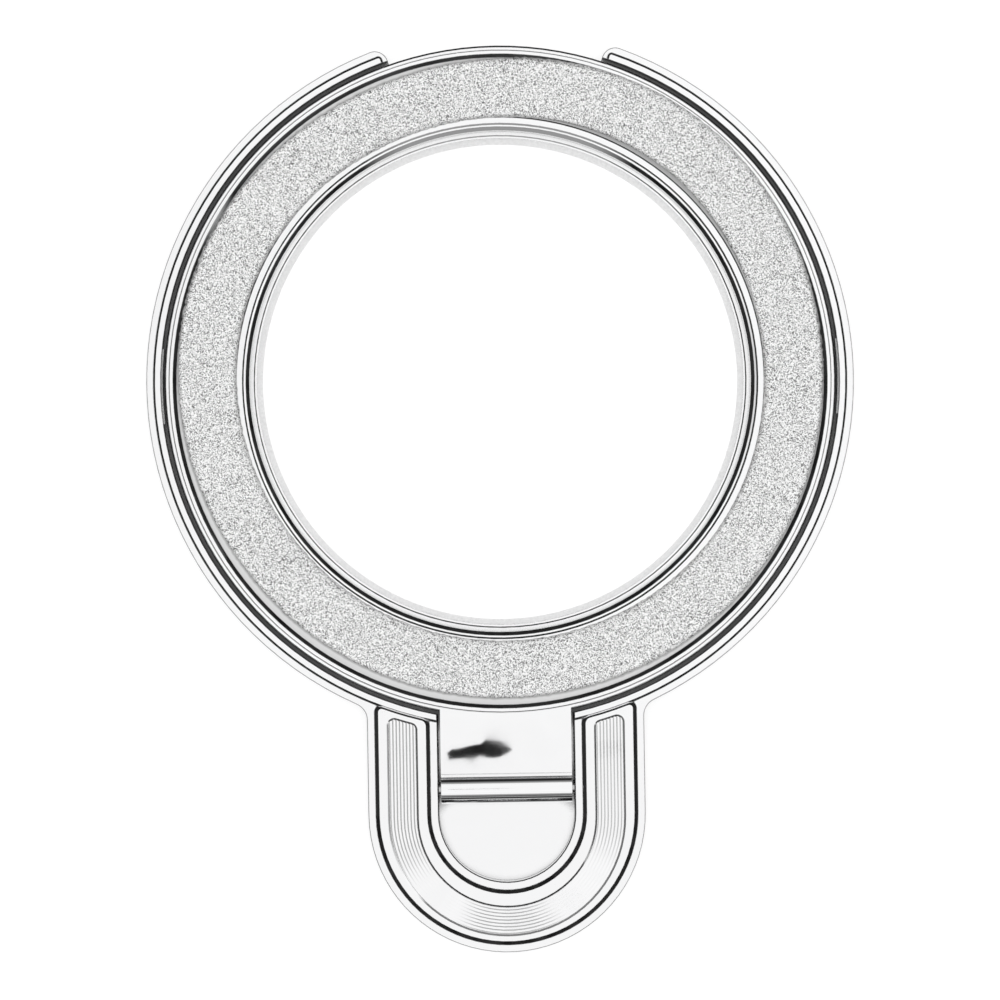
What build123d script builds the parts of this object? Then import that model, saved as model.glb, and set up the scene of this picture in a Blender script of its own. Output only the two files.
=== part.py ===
"""Magnetic phone ring holder: a chromed frame with a ring of magnets in its back,
and a glitter grip ring that swings out on a pin in the frame's tab.
Lies on its back with the phone face at z = 0 and the tab towards -Y. Millimetres."""

import math
import os

from build123d import *

os.makedirs("parts", exist_ok=True)

# Heights, from the phone face up
PAD_THICKNESS = 0.5
MAGNET_THICKNESS = 1.4
FLOOR_THICKNESS = 0.8  # metal between the magnets and the ring's seat
SEAT_GAP = 0.1  # under the closed ring
RING_BODY = 1.5  # the ring's thickness at its tongue and under its inlay
LIP_HEIGHT = 0.4  # the ring's lips above its channel
LEDGE_DROP = 0.2  # the frame's outer ledge lies this far under the ring's shoulder
RIM_HEIGHT = 0.35  # the rim's crest above the ledge
BAND_HEIGHT = 0.4  # the tab's ridged band above the ledge
WINDOW_FLOOR = 1.6

# Radii of the frame, from the hole outwards
PAD_BORE = 20.9
HOLE_EDGE = 0.45  # the frame's hole is wider than the pad's by this much
INNER_WALL = 1.45
MAGNET_CLEARANCE = 0.1
MAGNET_WIDTH = 5.1
OUTER_WALL = 1.0
NAIL_OVERHANG = 0.3  # the ring stands over the frame's edge in the nail notch
RING_GAP = 0.35  # between the ring and the rim
RIM_CREST = 0.65
RIM_LEDGE = 0.6
MAGNET_COUNT = 18
MAGNET_SPACE = 0.12  # between neighbours
PAD_MARGIN = 0.5  # the pad reaches past the magnets' pocket by this much

# Nail notch and closing bumps
NOTCH_HALF_ANGLE = 18.4
CREST_INSET = 0.8  # degrees from the rim's end to its crest's end
NOTCH_TIP = 1.2
CREST_TIP = 0.35
NOTCH_ROOT = 0.5
BUMP_ANGLE = 12.75
BUMP_DEPTH = 0.2
BUMP_BELOW_CREST = 0.7

# Grip ring
RING_STEP = 0.6  # the ring's bore is wider than the frame's hole by this much
SHOULDER = 0.4
OUTER_CREST = 0.325
LIP_SLOPE = 0.08  # outer edge of the outer lip
LIP_DROP = 0.055
OUTER_SLOPE = 0.35
OUTER_DROP = 0.22
INNER_CREST = 0.45
INNER_SLOPE = 0.25
INNER_DROP = 0.17
BORE_SLOPE = 0.33  # the lowest of the three slopes inside the inner lip
BORE_DROP = 0.235
BORE_TREAD = 0.17  # the flatter slope between the other two
TREAD_DROP = 0.063
STEP_SLOPE = 0.15  # the uppermost slope
STEP_DROP = 0.105
INLAY_CLEARANCE = 0.1
INLAY_THICKNESS = 0.2

# Tab, window, tongue and hinge
TONGUE_LENGTH = 5.95  # from the rim's inner wall to the hinge
TAB_BEYOND_HINGE = 2.2  # from the hinge to the centre of the tab's round end
WINDOW_HALF = 5.95
WINDOW_LEDGE = 0.7
BAND_FLANK = 0.36
BAND_DROP = 0.26  # height of the band's sloping flanks
BAND_WIDTH = 4.85  # at its foot
TAB_LEDGE = 0.65
TONGUE_SIDE_GAP = 0.2
BARREL_RADIUS = 1.3
BARREL_RELIEF = 0.05  # between the barrel and the edge of the tongue's top
RELIEF_RISE = 0.75  # floor of the groove beside the barrel, above the pin's axis
HINGE_RISE = 0.5  # the pin's axis above the ring's underside
PIN_RADIUS = 0.5
PIN_WALL = 0.2
PIN_SLIT = 0.25
PIN_INSET = 0.2
BORE_CLEARANCE = 0.05
PRESS_CLEARANCE = 0.01

# Ridges in the band
CHANNEL_MARGIN = 1.25  # from the band's foot to the ridged channel
CHANNEL_BEYOND = 0.3  # the channel's round end lies further out than the band's by this much
CHANNEL_DEPTH = 0.14
CHANNEL_SLOPE = 0.18  # plan width of the channel's sloping walls
CHANNEL_DROP = 0.1
RIDGE_COUNT = 8
RIDGE_HEIGHT = 0.055
RIDGE_ROOT = 0.1  # the ridges' footing under the channel's floor
CHANNEL_END = 0.65  # from the rim's crest to the channel's end
BAND_OVERLAP = 0.25  # the band's ends reach into the rim by this much

# Edges
RIM_SLOPE = 0.08  # round the frame's outer ledge
RIM_DROP = 0.07
CREST_SLOPE = 0.2
CREST_DROP = 0.14
WINDOW_SLOPE = 0.12
WINDOW_DROP = 0.08
NECK_ROUND = 1.5
SHOULDER_SLOPE = 0.17
SHOULDER_DROP = 0.12
HOLE_STEP = 0.17  # width of the shallow step round the frame's hole
HOLE_SLOPE = 0.12
HOLE_DROP = 0.085
CHANNEL_CORNER = 0.5
BAND_CORNER = 0.9  # at the band's ends, on the window's side
BAND_NECK_CORNER = 0.65  # at the band's ends, on the outer side
CUT_ABOVE = 2.0  # cuts run this far past the top
NEAR = 0.1  # a corner or an edge this close to a line counts as on it

# Levels that follow from the heights
magnet_top = PAD_THICKNESS + MAGNET_THICKNESS
seat_level = magnet_top + FLOOR_THICKNESS
ring_bottom = seat_level + SEAT_GAP
shoulder_level = ring_bottom + RING_BODY
lip_level = shoulder_level + LIP_HEIGHT
ledge_level = shoulder_level - LEDGE_DROP
crest_level = ledge_level + RIM_HEIGHT
band_level = ledge_level + BAND_HEIGHT
hinge_level = ring_bottom + HINGE_RISE
step_level = seat_level - HOLE_DROP

# Radii that follow from one another
hole_radius = PAD_BORE + HOLE_EDGE
step_radius = hole_radius + HOLE_STEP
magnet_pocket_inner = hole_radius + INNER_WALL
magnet_inner = magnet_pocket_inner + MAGNET_CLEARANCE
magnet_outer = magnet_inner + MAGNET_WIDTH
magnet_pocket_outer = magnet_outer + MAGNET_CLEARANCE
pad_outer = magnet_pocket_outer + PAD_MARGIN
notch_radius = magnet_pocket_outer + OUTER_WALL
ring_radius = notch_radius + NAIL_OVERHANG
seat_radius = ring_radius + RING_GAP
crest_radius = seat_radius + RIM_CREST
rim_radius = crest_radius + RIM_LEDGE
ring_bore = hole_radius + RING_STEP
hinge_reach = seat_radius + TONGUE_LENGTH
tab_reach = hinge_reach + TAB_BEYOND_HINGE
band_inner = WINDOW_HALF + WINDOW_LEDGE
band_outer = band_inner + BAND_WIDTH
tab_radius = band_outer + TAB_LEDGE
channel_inner = band_inner + CHANNEL_MARGIN
channel_outer = band_outer - CHANNEL_MARGIN
channel_mid = (channel_inner + channel_outer) / 2
channel_reach = tab_reach + CHANNEL_BEYOND
tongue_half = WINDOW_HALF - TONGUE_SIDE_GAP
channel_end_radius = crest_radius + CHANNEL_END
notch_reach = 2 * rim_radius
notch_side = notch_reach * math.tan(math.radians(NOTCH_HALF_ANGLE))
crest_side = notch_reach * math.tan(math.radians(NOTCH_HALF_ANGLE + CREST_INSET))


def at_radius(corner, radius):
    """True for an outline's corner at this distance from the ring's centre."""
    return abs(math.hypot(corner.X, corner.Y) - radius) < NEAR


def is_window_edge(edge):
    """True for an edge of the window in the tab."""
    middle = edge.center()
    in_tab = -tab_reach - band_inner < middle.Y < -seat_radius
    return in_tab and abs(middle.X) < band_inner


# Ridged band of the tab: a U with sloping flanks, whose ends run into the rim
with BuildPart() as band:
    with BuildSketch(Plane.XY.offset(ledge_level)):
        with Locations((0, -tab_reach / 2)):
            Rectangle(2 * band_outer, tab_reach)
        with Locations((0, -tab_reach)):
            Circle(band_outer)
        with Locations((0, -tab_reach / 2)):
            Rectangle(2 * band_inner, tab_reach, mode=Mode.SUBTRACT)
        with Locations((0, -tab_reach)):
            Circle(band_inner, mode=Mode.SUBTRACT)
        Circle(crest_radius - BAND_OVERLAP, mode=Mode.SUBTRACT)
    extrude(amount=BAND_HEIGHT)
    uprights = band.edges().filter_by(Axis.Z)
    window_side = uprights.filter_by(lambda e: abs(e.center().X) < channel_mid)
    fillet(window_side.group_by(Axis.Y)[-1], BAND_CORNER)
    uprights = band.edges().filter_by(Axis.Z)
    outer_side = uprights.filter_by(lambda e: abs(e.center().X) > band_outer - NEAR)
    fillet(outer_side.group_by(Axis.Y)[-1], BAND_NECK_CORNER)
    # Channel for the ridges, with its ends along the ring's curve
    with BuildSketch(Plane.XY.offset(band_level - CHANNEL_DEPTH)) as channel_outline:
        with Locations((0, -channel_reach / 2)):
            Rectangle(2 * channel_outer, channel_reach)
        with Locations((0, -channel_reach)):
            Circle(channel_outer)
        with Locations((0, -channel_reach / 2)):
            Rectangle(2 * channel_inner, channel_reach, mode=Mode.SUBTRACT)
        with Locations((0, -channel_reach)):
            Circle(channel_inner, mode=Mode.SUBTRACT)
        Circle(channel_end_radius, mode=Mode.SUBTRACT)
        ends = channel_outline.vertices().filter_by(lambda v: at_radius(v, channel_end_radius))
        fillet(ends, CHANNEL_CORNER)
    extrude(amount=CUT_ABOVE, mode=Mode.SUBTRACT)
    band_top = band.faces().sort_by(Axis.Z)[-1]
    chamfer(band_top.outer_wire().edges(), BAND_FLANK, BAND_DROP, reference=band_top)
    band_top = band.faces().sort_by(Axis.Z)[-1]
    chamfer(band_top.inner_wires()[0].edges(), CHANNEL_SLOPE, CHANNEL_DROP, reference=band_top)

# Ridges that run round the channel side by side, carried along its middle line
ridge_base = band_level - CHANNEL_DEPTH - RIDGE_ROOT
ridge_foot = band_level - CHANNEL_DEPTH
ridge_top = ridge_foot + RIDGE_HEIGHT
ridge_pitch = (channel_outer - channel_inner) / RIDGE_COUNT
ridge_end_radius = (channel_end_radius + crest_radius) / 2
ridge_end = -math.sqrt(ridge_end_radius**2 - channel_mid**2)
with BuildPart() as ridges:
    with BuildLine() as ridge_path:
        left_run = Line((-channel_mid, ridge_end), (-channel_mid, -channel_reach))
        round_run = JernArc(left_run @ 1, left_run % 1, channel_mid, 180)
        Line(round_run @ 1, (channel_mid, ridge_end))
    with BuildSketch(Plane.XZ.offset(-ridge_end)) as ridge_section:
        with BuildLine():
            teeth = [(-channel_outer, ridge_base), (-channel_outer, ridge_foot)]
            for tooth in range(RIDGE_COUNT):
                start = -channel_outer + tooth * ridge_pitch
                teeth.append((start + ridge_pitch / 2, ridge_top))
                teeth.append((start + ridge_pitch, ridge_foot))
            teeth.append((-channel_inner, ridge_base))
            Polyline(*teeth, close=True)
        make_face()
    sweep(path=ridge_path.line)

# Frame, first the outline with the tab and the nail notch, up to the ledge
with BuildPart() as base_frame:
    with BuildSketch(Plane.XY.offset(PAD_THICKNESS)) as outline:
        Circle(rim_radius)
        with Locations((0, -tab_reach / 2)):
            Rectangle(2 * tab_radius, tab_reach)
        with Locations((0, -tab_reach)):
            Circle(tab_radius)
        necks = outline.vertices().filter_by(lambda v: at_radius(v, rim_radius))
        fillet(necks, NECK_ROUND)
        with BuildLine():
            Polyline((0, 0), (notch_side, notch_reach), (-notch_side, notch_reach), close=True)
        make_face(mode=Mode.SUBTRACT)
        Circle(notch_radius)
        tips = outline.vertices().filter_by(lambda v: at_radius(v, rim_radius) and v.Y > 0)
        fillet(tips, NOTCH_TIP)
        roots = outline.vertices().filter_by(lambda v: at_radius(v, notch_radius) and v.Y > 0)
        fillet(roots, NOTCH_ROOT)
    extrude(amount=ledge_level - PAD_THICKNESS)
    ledge_top = base_frame.faces().sort_by(Axis.Z)[-1]
    chamfer(ledge_top.outer_wire().edges(), RIM_SLOPE, RIM_DROP, reference=ledge_top)
    # The ring's round seat, and the deeper window with the round end and a broken edge
    with BuildSketch(Plane.XY.offset(seat_level)):
        Circle(seat_radius)
    extrude(amount=ledge_level - seat_level, mode=Mode.SUBTRACT)
    with BuildSketch(Plane.XY.offset(WINDOW_FLOOR)):
        with Locations((0, -tab_reach / 2)):
            Rectangle(2 * WINDOW_HALF, tab_reach)
        with Locations((0, -tab_reach)):
            Circle(WINDOW_HALF)
        Circle(seat_radius, mode=Mode.SUBTRACT)
    extrude(amount=ledge_level - WINDOW_FLOOR, mode=Mode.SUBTRACT)
    ledge_top = base_frame.faces().sort_by(Axis.Z)[-1]
    window_edge = ledge_top.edges().filter_by(lambda e: is_window_edge(e))
    chamfer(window_edge, WINDOW_SLOPE, WINDOW_DROP, reference=ledge_top)
    # The rim's crest, open at the notch and at the window
    with BuildSketch(Plane.XY.offset(ledge_level)) as crest:
        Circle(crest_radius)
        Circle(seat_radius, mode=Mode.SUBTRACT)
        with BuildLine():
            Polyline((0, 0), (crest_side, notch_reach), (-crest_side, notch_reach), close=True)
        make_face(mode=Mode.SUBTRACT)
        with Locations((0, -tab_reach / 2)):
            Rectangle(2 * (WINDOW_HALF + WINDOW_SLOPE), tab_reach, mode=Mode.SUBTRACT)
        crest_tips = crest.vertices().filter_by(lambda v: at_radius(v, crest_radius) and v.Y > 0)
        fillet(crest_tips, CREST_TIP)
    extrude(amount=RIM_HEIGHT)
    for side in (0, -1):
        crest_top = base_frame.faces().group_by(Axis.Z)[-1].sort_by(Axis.X)[side]
        outer_edge = crest_top.edges().sort_by(SortBy.LENGTH)[-1]
        chamfer(outer_edge, CREST_SLOPE, CREST_DROP, reference=crest_top)
    # The band of the tab with its ridges
    add(band.part)
    add(ridges.part)
    # The finger hole with a shallow step round its edge, and the magnets' pocket
    with BuildSketch(Plane.XZ):
        with BuildLine():
            Polyline(
                (0, PAD_THICKNESS),
                (hole_radius, PAD_THICKNESS),
                (hole_radius, step_level),
                (step_radius, step_level),
                (step_radius + HOLE_SLOPE, seat_level),
                (0, seat_level),
                close=True,
            )
        make_face()
    revolve(axis=Axis.Z, mode=Mode.SUBTRACT)
    with BuildSketch(Plane.XY.offset(PAD_THICKNESS)):
        Circle(magnet_pocket_outer)
        Circle(magnet_pocket_inner, mode=Mode.SUBTRACT)
    extrude(amount=MAGNET_THICKNESS, mode=Mode.SUBTRACT)
    # The closing bumps on the rim's inner wall
    for side in (0, 180):
        with BuildSketch(Plane.XZ.rotated((0, 0, side - BUMP_ANGLE / 2))):
            with Locations((seat_radius, (seat_level + crest_level - BUMP_BELOW_CREST) / 2)):
                Rectangle(2 * BUMP_DEPTH, crest_level - BUMP_BELOW_CREST - seat_level)
        revolve(axis=Axis.Z, revolution_arc=BUMP_ANGLE)
    # The pin's bores in both arms of the tab
    with BuildSketch(Plane.YZ.offset(-tab_radius)):
        with Locations((-hinge_reach, hinge_level)):
            Circle(PIN_RADIUS + PRESS_CLEARANCE)
    extrude(amount=2 * tab_radius, mode=Mode.SUBTRACT)
base_frame.part.label = "base_frame"
export_step(base_frame.part, "parts/base_frame.step")

# Grip ring: lips at both sides of the inlay's channel, stepped inner edge, shoulder outside
lip_outer = ring_radius - SHOULDER
lip_crest = lip_outer - OUTER_CREST
channel_edge = lip_crest - OUTER_SLOPE
inner_crest = ring_bore + BORE_SLOPE + BORE_TREAD + STEP_SLOPE
inner_slope = inner_crest + INNER_CREST
inner_edge = inner_slope + INNER_SLOPE
tread_level = lip_level - STEP_DROP
with BuildPart() as grip_ring:
    with BuildSketch(Plane.XZ):
        with BuildLine():
            Polyline(
                (ring_bore, ring_bottom),
                (ring_radius, ring_bottom),
                (ring_radius, shoulder_level - SHOULDER_DROP),
                (ring_radius - SHOULDER_SLOPE, shoulder_level),
                (lip_outer, shoulder_level),
                (lip_outer, lip_level - LIP_DROP),
                (lip_outer - LIP_SLOPE, lip_level),
                (lip_crest, lip_level),
                (channel_edge, lip_level - OUTER_DROP),
                (channel_edge, shoulder_level),
                (inner_edge, shoulder_level),
                (inner_edge, lip_level - INNER_DROP),
                (inner_slope, lip_level),
                (inner_crest, lip_level),
                (inner_crest - STEP_SLOPE, tread_level),
                (ring_bore + BORE_SLOPE, tread_level - TREAD_DROP),
                (ring_bore, tread_level - TREAD_DROP - BORE_DROP),
                close=True,
            )
        make_face()
    revolve(axis=Axis.Z)
    # The tongue and the hinge barrel, with a groove between the tongue's top and the barrel
    with BuildSketch(Plane.YZ.offset(-tongue_half)):
        with Locations((-(hinge_reach + lip_crest) / 2, (ring_bottom + shoulder_level) / 2)):
            Rectangle(hinge_reach - lip_crest, RING_BODY)
        with Locations((-hinge_reach, hinge_level + RELIEF_RISE + RING_BODY / 2)):
            Rectangle(2 * (BARREL_RADIUS + BARREL_RELIEF), RING_BODY, mode=Mode.SUBTRACT)
        with Locations((-hinge_reach, hinge_level)):
            Circle(BARREL_RADIUS)
    extrude(amount=2 * tongue_half)
    with BuildSketch(Plane.YZ.offset(-tongue_half)):
        with Locations((-hinge_reach, hinge_level)):
            Circle(PIN_RADIUS + BORE_CLEARANCE)
    extrude(amount=2 * tongue_half, mode=Mode.SUBTRACT)
grip_ring.part.label = "grip_ring"
export_step(grip_ring.part, "parts/grip_ring.step")

# Glitter inlay in the channel between the lips
with BuildPart() as glitter_inlay:
    with BuildSketch(Plane.XY.offset(shoulder_level)):
        Circle(channel_edge - INLAY_CLEARANCE)
        Circle(inner_edge + INLAY_CLEARANCE, mode=Mode.SUBTRACT)
    extrude(amount=INLAY_THICKNESS)
glitter_inlay.part.label = "glitter_inlay"
export_step(glitter_inlay.part, "parts/glitter_inlay.step")

# Slit spring pin, whose grip holds the ring where it is put
pin_length = 2 * (tab_radius - PIN_INSET)
with BuildPart() as hinge_pin:
    with BuildSketch(Plane.YZ.offset(-pin_length / 2)):
        with Locations((-hinge_reach, hinge_level)):
            Circle(PIN_RADIUS)
            Circle(PIN_RADIUS - PIN_WALL, mode=Mode.SUBTRACT)
        with Locations((-hinge_reach, hinge_level - PIN_RADIUS)):
            Rectangle(PIN_SLIT, PIN_RADIUS, mode=Mode.SUBTRACT)
    extrude(amount=pin_length)
hinge_pin.part.label = "hinge_pin"
export_step(hinge_pin.part, "parts/hinge_pin.step")

# Pad on the phone side
with BuildPart() as backing_pad:
    with BuildSketch(Plane.XY):
        Circle(pad_outer)
        Circle(PAD_BORE, mode=Mode.SUBTRACT)
    extrude(amount=PAD_THICKNESS)
backing_pad.part.label = "backing_pad"
export_step(backing_pad.part, "parts/backing_pad.step")

# Wedge magnets side by side in a ring, inside the pocket's two circles
magnet_pitch = 360 / MAGNET_COUNT
half_turn = math.radians(magnet_pitch / 2)
magnet_near = magnet_inner
near_half = magnet_near * math.tan(half_turn) - MAGNET_SPACE / 2
magnet_far = magnet_outer * math.cos(half_turn)
far_half = magnet_far * math.tan(half_turn) - MAGNET_SPACE / 2
for number in range(MAGNET_COUNT):
    with BuildPart() as magnet:
        with BuildSketch(Plane.XY.offset(PAD_THICKNESS).rotated((0, 0, number * magnet_pitch))):
            with BuildLine():
                Polyline(
                    (magnet_near, -near_half),
                    (magnet_far, -far_half),
                    (magnet_far, far_half),
                    (magnet_near, near_half),
                    close=True,
                )
            make_face()
        extrude(amount=MAGNET_THICKNESS)
    magnet.part.label = f"magnet_{number + 1:02d}"
    export_step(magnet.part, f"parts/magnet_{number + 1:02d}.step")
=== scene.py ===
"""Looks of the magnetic phone ring holder: polished chrome, a glitter inlay and a matte pad,
seen straight from above on a white table. Metres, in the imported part's own frame."""

import math

import bpy
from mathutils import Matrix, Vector, noise as smooth_noise


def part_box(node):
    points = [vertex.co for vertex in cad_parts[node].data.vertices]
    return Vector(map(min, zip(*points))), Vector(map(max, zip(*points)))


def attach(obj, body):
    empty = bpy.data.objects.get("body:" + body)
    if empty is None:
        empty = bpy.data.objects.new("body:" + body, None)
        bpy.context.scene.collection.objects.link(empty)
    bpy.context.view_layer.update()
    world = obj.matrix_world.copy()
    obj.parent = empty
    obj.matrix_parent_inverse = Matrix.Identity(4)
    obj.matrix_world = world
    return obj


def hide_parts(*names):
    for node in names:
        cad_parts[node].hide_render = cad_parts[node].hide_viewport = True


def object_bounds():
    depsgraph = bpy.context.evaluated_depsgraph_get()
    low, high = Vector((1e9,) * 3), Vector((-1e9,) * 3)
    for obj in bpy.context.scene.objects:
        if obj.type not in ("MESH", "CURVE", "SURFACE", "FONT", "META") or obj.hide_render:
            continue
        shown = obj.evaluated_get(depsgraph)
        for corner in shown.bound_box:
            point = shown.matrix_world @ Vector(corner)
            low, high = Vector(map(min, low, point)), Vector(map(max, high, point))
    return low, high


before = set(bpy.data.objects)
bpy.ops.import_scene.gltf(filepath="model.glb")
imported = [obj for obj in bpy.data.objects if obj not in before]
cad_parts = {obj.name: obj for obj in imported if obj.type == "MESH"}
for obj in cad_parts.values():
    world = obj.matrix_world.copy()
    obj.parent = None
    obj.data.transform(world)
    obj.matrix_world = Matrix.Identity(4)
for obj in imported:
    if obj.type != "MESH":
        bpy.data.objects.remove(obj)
cad_low, cad_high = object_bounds()

MM = 0.001
WHITE = (1, 1, 1, 1)

# Camera: the picture's middle lies on the object's long axis, below the ring's centre
VIEW_WIDTH = 87.5 * MM
VIEW_CENTRE = (-0.175 * MM, -10.41 * MM)
VIEW_DISTANCE = 0.6
VIEW_ROLL = math.radians(-0.93)
SENSOR = 36.0

# Studio, as mirrors see it: a white panel overhead, and dark sides that grow paler towards it
# and towards the table, both faintly clouded. The panel's edges are (place, softness) in the
# plane at unit height. Heights are those of a direction, from 0 at the table's to 1 overhead
PANEL_LEFT = (-0.85, 0.3)
PANEL_RIGHT = (1.5, 0.4)
PANEL_NEAR = (-0.95, 0.2)
PANEL_FAR = (0.95, 0.2)
LEAST_HEIGHT = 0.001
SIDE_TONES = (  # by height
    (0.0, 0.55),
    (0.1, 0.3),
    (0.2, 0.01),
    (0.48, 0.01),
    (0.58, 0.2),
    (0.7, 0.4),
)
CLOUDS = 9.0  # scale of the clouds over all directions
CLOUD_DETAIL = 2.0
CLOUD_SPAN = (0.35, 0.65)  # the clouds' noise from the thinnest to the thickest
CLOUD_SIDES = (0.0, 0.02)  # what the clouds add to the sides
CLOUD_PANEL = (0.97, 1.03)  # brightness of the panel in them
FRONT_TONE = 0.32  # brightness of a long lamp in front, towards -Y
FRONT_TOP = (0.49, 0.45)  # heights of its upper and its lower edge
FRONT_FOOT = (0.33, 0.36)
FRONT_ENDS = (-0.76, -0.87)  # how far towards -Y it begins, and is full

# Table
TABLE_SIZE = 4.0
TABLE_TONE = 0.35
TABLE_GLOW = 0.75
SHADOW_REACH = 12 * MM  # of the shadow beside the object, as mirrors see it
SHADOW_SPAN = (0.45, 1.0)  # openness of the table from beside the object to far from it
SHADOW_GLOW = (0.05, 0.5)  # the table's glow there

# Dark card above the tongue, which only mirrors see: its outline, in mm, and its height
CARD = (
    (-5.7, -34.7),
    (-5.2, -34.2),
    (-2.3, -34.1),
    (-1.7, -33.7),
    (-0.3, -34.1),
    (0.9, -34.6),
    (-0.6, -35.2),
    (-2.5, -35.3),
    (-3.5, -35.8),
    (-5.4, -35.8),
)
CARD_HEIGHT = 68.9 * MM
CARD_TONE = (0.01, 0.01, 0.01, 1)

# Chrome
CHROME_TONE = (0.93, 0.93, 0.935, 1)
SHADE_SAMPLES = 12  # for the shade in gaps, and beside the object
CREVICE_REACH = 1.6 * MM  # how far the shade in narrow gaps is felt
CREVICE_DARK = 0.25  # openness of a gap that is quite dark
CREVICE_CLEAR = 0.55  # openness from which a gap is bright
# colour of the painted shade in the narrowest gaps
CREVICE_SHADE_TONE = (0.06, 0.06, 0.06, 1)
EDGE_SOFTNESS = 0.07 * MM
EDGE_SAMPLES = 6
WAVE_LENGTH = 4.5 * MM  # of the faint unevenness in the plating
WAVE_HEIGHT = 0.02 * MM
HAZE_LENGTH = 3 * MM  # size of the duller spots
HAZE_DETAIL = 3.0
POLISH = (0.015, 0.05)  # roughness of the clearest and the dullest spots

# Glitter sheet: a plain film in the channel that carries a narrower bed of flakes, laid askew,
# so that it climbs a lip here and there. Its waves are (size, turns, direction of the first crest)
FLAKES_INNER = 23.05 * MM
FLAKES_OUTER = 28.13 * MM
INNER_LAY = 0.75  # share of the waves in the flakes' inner edge
FLAKES_WAVES = (
    (0.37 * MM, 1, math.radians(58)),
    (0.13 * MM, 2, math.radians(12)),
    (0.16 * MM, 3, math.radians(51)),
    (0.11 * MM, 4, math.radians(62)),
)
SHEET_STEPS = 1440
BED_HEIGHT = 0.1 * MM  # the flakes stand this far above the film
BED_INSETS = (0, 0.02, 0.05, 0.1, 0.15, 0.2, 0.25, 0.3, 0.4, 0.5, 0.65)  # from its edge, in mm
RAGGED = 0.07 * MM  # roughness of its edges
RAGGED_LENGTH = 0.4 * MM
INNER_FOOT = 23.3 * MM  # the lips' feet, on both sides of the channel
OUTER_FOOT = 28.325 * MM
LIP_SLOPE = 0.65  # rise of the lips from their feet
OVER_LIP = 0.05 * MM  # the flakes lie this far above a lip
FILM_EDGE = 0.04 * MM  # least width of the film beside the flakes
FILM_CLIMB = 0.12 * MM  # the film's inner edge lies this far up on the inner lip's slope

# Flakes: their tones, and the sheet's tones by the distance in mm inwards from the flakes' edge; the
# darker tones near that edge are painted shade
FLAKE = 0.065 * MM
FLAKE_TONES = ((0.0, 0.02), (0.2, 0.1), (0.3, 0.58), (0.55, 0.9), (0.75, 1.0))
FLAKE_GLOSS = 0.35
EDGE_SHADE = ((-0.2, 0.71), (-0.1, 0.5), (-0.01, 0.4), (0.02, 0.58), (0.12, 0.7), (0.3, 1.0))
EDGE_ZONE = (-0.5, 0.5)  # distances that the tones are spread over, in mm
# the film up the inner lip is painted with the shade tones of the flakes' edge
FILM_INSETS = (-0.08, -0.04)  # the film on the inner lip has the tones of these distances

# Plain pieces: tone, roughness and share of metal
SILICONE = (0.95, 0.6, 0.0)
STEEL = (0.6, 0.3, 1.0)
NICKEL = (0.66, 0.3, 1.0)
GRAIN = 0.2 * MM
GRAIN_DETAIL = 2.0
GRAIN_TONES = (0.94, 1.05)  # the darkest and the palest grains, as shares of the tone

NOISE_SPAN = (0.3, 0.7)  # what nearly all of a noise lies in
VECTORS = "ShaderNodeVectorMath"
SMOOTH_METAL = math.radians(20)
SMOOTH_SHEET = math.radians(40)


def new_material(name):
    """A material with an empty node tree and an output."""
    material = bpy.data.materials.new(name)
    material.use_nodes = True
    material.node_tree.nodes.clear()
    output = material.node_tree.nodes.new("ShaderNodeOutputMaterial")
    return material, material.node_tree, output


def node(tree, kind, properties=None, **inputs):
    """A new node. Inputs are values or other nodes' sockets, by name with _ for a space."""
    made = tree.nodes.new(kind)
    for name, value in (properties or {}).items():
        setattr(made, name, value)
    for name, value in inputs.items():
        plug(tree, made.inputs[name.replace("_", " ")], value)
    return made


def plug(tree, socket, value):
    """Links a socket to the socket, or sets its value."""
    if isinstance(value, bpy.types.NodeSocket):
        tree.links.new(value, socket)
    else:
        socket.default_value = value


def maths(tree, operation, *values, kind="ShaderNodeMath", result="Value"):
    """The result of a sum on numbers, or on vectors if that kind is asked for."""
    made = node(tree, kind, {"operation": operation})
    for socket, value in zip(made.inputs, values):
        plug(tree, socket, value)
    return made.outputs[result]


def scaled(tree, value, span, to_span, smooth=False):
    """Maps one span of values onto another and holds it at the ends."""
    if span[0] > span[1]:
        span, to_span = span[::-1], to_span[::-1]
    made = node(tree, "ShaderNodeMapRange", Value=value)
    for name, limit in zip(("From Min", "From Max", "To Min", "To Max"), (*span, *to_span)):
        made.inputs[name].default_value = limit
    if smooth:
        made.interpolation_type = "SMOOTHSTEP"
    return made.outputs["Result"]


def about(middle, width):
    """The span of this width about its middle."""
    return middle - width / 2, middle + width / 2


def tones(tree, value, stops):
    """A grey or coloured ramp through (position, tone) stops."""
    made = node(tree, "ShaderNodeValToRGB", Fac=value)
    elements = made.color_ramp.elements
    while len(elements) < len(stops):
        elements.new(0.5)
    for element, (position, tone) in zip(elements, stops):
        element.position = position
        element.color = tone if isinstance(tone, tuple) else (tone, tone, tone, 1)
    return made.outputs["Color"]


def place(tree):
    """Where a point is on the object."""
    return node(tree, "ShaderNodeTexCoord").outputs["Object"]


def noise(tree, length, detail=1.0):
    """Soft noise over the object, with waves of this length."""
    made = node(tree, "ShaderNodeTexNoise", Vector=place(tree), Scale=1 / length, Detail=detail)
    return made.outputs["Fac"]


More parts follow.
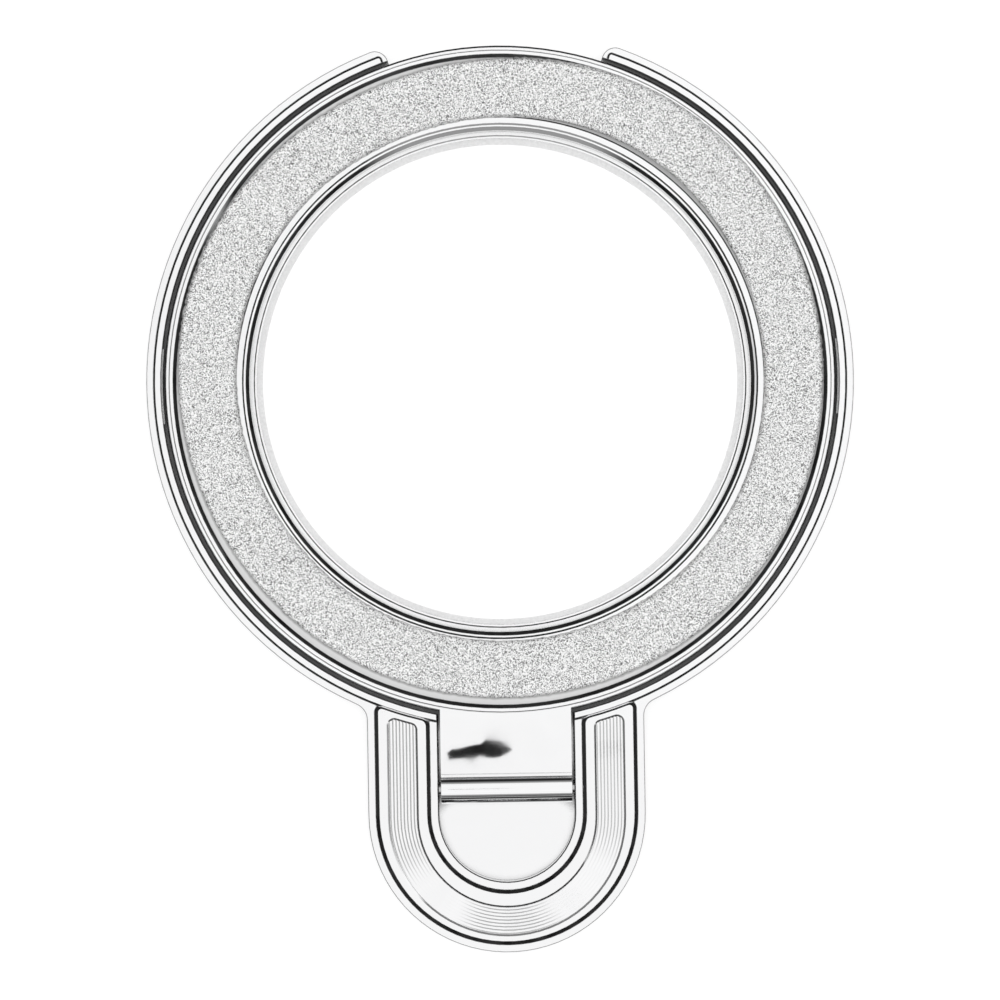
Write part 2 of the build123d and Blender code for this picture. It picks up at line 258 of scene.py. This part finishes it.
def chrome():
    """Mirror plating, faintly uneven, with softened edges and painted shade in narrow gaps."""
    material, tree, output = new_material("chrome")
    # painted shade: the plating's colour goes dark where occlusion finds a narrow gap
    openness = node(tree, "ShaderNodeAmbientOcclusion", {"samples": SHADE_SAMPLES}, Distance=CREVICE_REACH)
    shades = ((CREVICE_DARK, CREVICE_SHADE_TONE), (CREVICE_CLEAR, CHROME_TONE))
    tone = tones(tree, openness.outputs["AO"], shades)
    edge = node(tree, "ShaderNodeBevel", {"samples": EDGE_SAMPLES}, Radius=EDGE_SOFTNESS)
    wave = noise(tree, WAVE_LENGTH)
    relief = node(tree, "ShaderNodeBump", Height=wave, Distance=WAVE_HEIGHT, Strength=1.0)
    plug(tree, relief.inputs["Normal"], edge.outputs["Normal"])
    shine = scaled(tree, noise(tree, HAZE_LENGTH, HAZE_DETAIL), NOISE_SPAN, POLISH)
    shader = node(tree, "ShaderNodeBsdfPrincipled", Base_Color=tone, Metallic=1.0, Roughness=shine)
    plug(tree, shader.inputs["Normal"], relief.outputs["Normal"])
    plug(tree, output.inputs["Surface"], shader.outputs["BSDF"])
    return material


def grained(name, tone, roughness, metallic):
    """A plain surface with a faint grain."""
    material, tree, output = new_material(name)
    grains = [min(1.0, tone * share) for share in GRAIN_TONES]
    grain = tones(tree, noise(tree, GRAIN, GRAIN_DETAIL), tuple(zip(NOISE_SPAN, grains)))
    shader = node(tree, "ShaderNodeBsdfPrincipled", Base_Color=grain, Metallic=metallic)
    shader.inputs["Roughness"].default_value = roughness
    plug(tree, output.inputs["Surface"], shader.outputs["BSDF"])
    return material


def glitter():
    """Fine flakes of many tones on a plain film, with painted shade along the flakes' edge and up the
    inner lip.
    """
    material, tree, output = new_material("glitter")
    cells = node(tree, "ShaderNodeTexVoronoi", Vector=place(tree), Scale=1 / FLAKE)
    flake = node(tree, "ShaderNodeSeparateColor", Color=cells.outputs["Color"]).outputs["Red"]
    inset = node(tree, "ShaderNodeAttribute", {"attribute_name": "inset"}).outputs["Fac"]
    bare = maths(tree, "LESS_THAN", inset, 0.0)
    speckle = tones(tree, maths(tree, "MAXIMUM", flake, bare), FLAKE_TONES)
    start, end = EDGE_ZONE
    stops = [((distance - start) / (end - start), tone) for distance, tone in EDGE_SHADE]
    # painted shade: the sheet darkens towards the flakes' edge
    shade = tones(tree, scaled(tree, inset, EDGE_ZONE, (0, 1)), stops)
    tone = maths(tree, "MULTIPLY", speckle, shade, kind=VECTORS, result="Vector")
    shader = node(tree, "ShaderNodeBsdfPrincipled", Base_Color=tone, Roughness=FLAKE_GLOSS)
    plug(tree, output.inputs["Surface"], shader.outputs["BSDF"])
    return material


def dress(name, material):
    """Gives a node of the part its material."""
    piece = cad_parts[name]
    piece.data.materials.clear()
    piece.data.materials.append(material)


def smooth(piece, angle):
    """Smooth shading between faces that meet at less than the angle."""
    bpy.context.view_layer.objects.active = piece
    piece.select_set(True)
    bpy.ops.object.shade_smooth_by_angle(angle=angle)
    piece.select_set(False)


def ragged(angle, radius):
    """Roughness of the flakes' edge at this place."""
    spot = Vector((math.cos(angle), math.sin(angle), 0.0)) * (radius / RAGGED_LENGTH)
    return RAGGED * smooth_noise.noise(spot)


def flake_edges(angle):
    """Inner and outer radius of the flakes in this direction."""
    lay = sum(size * math.cos(turns * (angle - crest)) for size, turns, crest in FLAKES_WAVES)
    inner = FLAKES_INNER + lay * INNER_LAY + ragged(angle, FLAKES_INNER)
    outer = FLAKES_OUTER + lay + ragged(angle, FLAKES_OUTER)
    return inner, outer


def sheet_level(radius, inset, top, lip):
    """Level of the sheet's top: the film, the flakes' rounded edge on it, or up on a lip."""
    if radius <= INNER_FOOT or radius > OUTER_FOOT:
        past_foot = max(INNER_FOOT - radius, radius - OUTER_FOOT)
        return min(lip, top + past_foot * LIP_SLOPE) + OVER_LIP
    inward = min(1.0, max(0.0, 1 - inset * MM / BED_HEIGHT))
    return top - BED_HEIGHT * (1 - math.sqrt(1 - inward**2))


def sheet_section(angle, floor, top, lip):
    """Section of the sheet as (radius, level, inset), over its top and back along the floor."""
    inner, outer = flake_edges(angle)
    film_inner = min(inner - FILM_EDGE, INNER_FOOT - FILM_CLIMB)
    film_bend = min(inner - FILM_EDGE / 2, INNER_FOOT)
    film_outer = max(outer + FILM_EDGE, OUTER_FOOT)
    over = list(zip((film_inner, film_bend), FILM_INSETS))
    over += [(inner + inset * MM, inset) for inset in BED_INSETS]
    over += [(outer - inset * MM, inset) for inset in reversed(BED_INSETS)]
    over += [(film_outer, (outer - film_outer) / MM)]
    section = [(radius, sheet_level(radius, inset, top, lip), inset) for radius, inset in over]
    section.append((OUTER_FOOT, floor, 0.0))
    section.append((INNER_FOOT, floor, 0.0))
    return section


def glitter_sheet():
    """The inlay as laid: a film in the channel, and flakes that climb the lips where they are askew."""
    low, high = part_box("glitter_inlay")
    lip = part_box("grip_ring")[1].z
    vertices, faces, insets = [], [], []
    for number in range(SHEET_STEPS):
        angle = 2 * math.pi * number / SHEET_STEPS
        section = sheet_section(angle, low.z, high.z, lip)
        for radius, level, inset in section:
            vertices.append((radius * math.cos(angle), radius * math.sin(angle), level))
            insets.append(inset)
    width = len(section)
    for number in range(SHEET_STEPS):
        here = number * width
        there = (number + 1) % SHEET_STEPS * width
        for corner in range(width):
            after = (corner + 1) % width
            faces.append((here + corner, there + corner, there + after, here + after))
    mesh = bpy.data.meshes.new("glitter_sheet")
    mesh.from_pydata(vertices, [], faces)
    mesh.attributes.new("inset", "FLOAT", "POINT").data.foreach_set("value", insets)
    mesh.materials.append(glitter())
    piece = bpy.data.objects.new("glitter_sheet", mesh)
    bpy.context.scene.collection.objects.link(piece)
    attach(piece, "ring")
    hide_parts("glitter_inlay")
    return piece


def studio():
    """Even white light for matt surfaces; mirrors see the panel, the dark sides and the front lamp."""
    world = bpy.data.worlds.new("studio")
    bpy.context.scene.world = world
    world.use_nodes = True
    tree = world.node_tree
    tree.nodes.clear()
    output = tree.nodes.new("ShaderNodeOutputWorld")
    direction = node(tree, "ShaderNodeTexCoord").outputs["Generated"]
    parts = node(tree, "ShaderNodeSeparateXYZ", Vector=direction).outputs
    height = maths(tree, "MAXIMUM", parts["Z"], LEAST_HEIGHT)
    across = maths(tree, "DIVIDE", parts["X"], height)
    along = maths(tree, "DIVIDE", parts["Y"], height)
    clouds = node(tree, "ShaderNodeTexNoise", Vector=direction, Scale=CLOUDS, Detail=CLOUD_DETAIL)
    cloud = clouds.outputs["Fac"]
    panel = scaled(tree, cloud, CLOUD_SPAN, CLOUD_PANEL)
    edges = (
        (across, PANEL_LEFT, (0, 1)),
        (across, PANEL_RIGHT, (1, 0)),
        (along, PANEL_NEAR, (0, 1)),
        (along, PANEL_FAR, (1, 0)),
    )
    for at, edge, sides in edges:
        inside = scaled(tree, at, about(*edge), sides, smooth=True)
        panel = maths(tree, "MULTIPLY", panel, inside)
    front = scaled(tree, parts["Y"], FRONT_ENDS, (0, FRONT_TONE), smooth=True)
    for edge in (FRONT_TOP, FRONT_FOOT):
        front = maths(tree, "MULTIPLY", front, scaled(tree, height, edge, (0, 1), smooth=True))
    clouding = scaled(tree, cloud, CLOUD_SPAN, CLOUD_SIDES)
    dark = maths(tree, "ADD", tones(tree, height, SIDE_TONES), clouding)
    seen = maths(tree, "MAXIMUM", dark, front)
    seen = maths(tree, "MAXIMUM", seen, panel)
    mirrored = node(tree, "ShaderNodeBackground", Color=seen, Strength=1.0)
    even = node(tree, "ShaderNodeBackground", Color=WHITE, Strength=1.0)
    path = node(tree, "ShaderNodeLightPath").outputs
    no_matt_yet = maths(tree, "LESS_THAN", path["Diffuse Depth"], 1.0)
    by_mirror = maths(tree, "MULTIPLY", path["Is Glossy Ray"], no_matt_yet)
    mix = node(tree, "ShaderNodeMixShader", Fac=by_mirror)
    plug(tree, mix.inputs[1], even.outputs["Background"])
    plug(tree, mix.inputs[2], mirrored.outputs["Background"])
    plug(tree, output.inputs["Surface"], mix.outputs["Shader"])


def table():
    """White table that keeps a faint shadow of the object, and shows a deeper one to mirrors."""
    bpy.ops.mesh.primitive_plane_add(size=TABLE_SIZE)
    plane = bpy.context.object
    plane.name = "table"
    material, tree, output = new_material("table")
    paper = node(tree, "ShaderNodeBsdfDiffuse", Color=(TABLE_TONE, TABLE_TONE, TABLE_TONE, 1))
    openness = node(tree, "ShaderNodeAmbientOcclusion", {"samples": SHADE_SAMPLES}, Distance=SHADOW_REACH)
    deeper = [tone - TABLE_GLOW for tone in SHADOW_GLOW]
    deeper = scaled(tree, openness.outputs["AO"], SHADOW_SPAN, deeper)
    path = node(tree, "ShaderNodeLightPath").outputs
    strength = maths(tree, "MULTIPLY_ADD", path["Is Glossy Ray"], deeper, TABLE_GLOW)
    glow = node(tree, "ShaderNodeEmission", Color=WHITE, Strength=strength)
    both = node(tree, "ShaderNodeAddShader")
    plug(tree, both.inputs[0], paper.outputs["BSDF"])
    plug(tree, both.inputs[1], glow.outputs["Emission"])
    plug(tree, output.inputs["Surface"], both.outputs["Shader"])
    plane.data.materials.append(material)


def card():
    """Dark card above the tongue, seen in it as a dark blotch and by nothing but mirrors."""
    mesh = bpy.data.meshes.new("card")
    corners = [(x * MM, y * MM, CARD_HEIGHT) for x, y in CARD]
    mesh.from_pydata(corners, [], [tuple(range(len(corners)))])
    material, tree, output = new_material("card")
    felt = node(tree, "ShaderNodeBsdfDiffuse", Color=CARD_TONE)
    plug(tree, output.inputs["Surface"], felt.outputs["BSDF"])
    mesh.materials.append(material)
    made = bpy.data.objects.new("card", mesh)
    bpy.context.scene.collection.objects.link(made)
    made.visible_camera = False
    made.visible_diffuse = False
    made.visible_shadow = False


def camera():
    """Looks straight down, turned a little as in the photo."""
    data = bpy.data.cameras.new("camera")
    data.sensor_width = SENSOR
    data.lens = SENSOR * VIEW_DISTANCE / VIEW_WIDTH
    made = bpy.data.objects.new("camera", data)
    bpy.context.scene.collection.objects.link(made)
    made.location = (*VIEW_CENTRE, cad_high.z + VIEW_DISTANCE)
    made.rotation_euler = (0, 0, VIEW_ROLL)
    bpy.context.scene.camera = made


plating = chrome()
steel = grained("steel", *STEEL)
silicone = grained("silicone", *SILICONE)
nickel = grained("nickel", *NICKEL)
finishes = {"base_frame": plating, "grip_ring": plating, "hinge_pin": steel, "backing_pad": silicone}
for name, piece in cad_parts.items():
    if name.startswith("magnet"):
        dress(name, nickel)
    elif name in finishes:
        dress(name, finishes[name])
        smooth(piece, SMOOTH_METAL)
smooth(glitter_sheet(), SMOOTH_SHEET)
studio()
table()
card()
camera()
bpy.context.scene.view_settings.view_transform = "Standard"
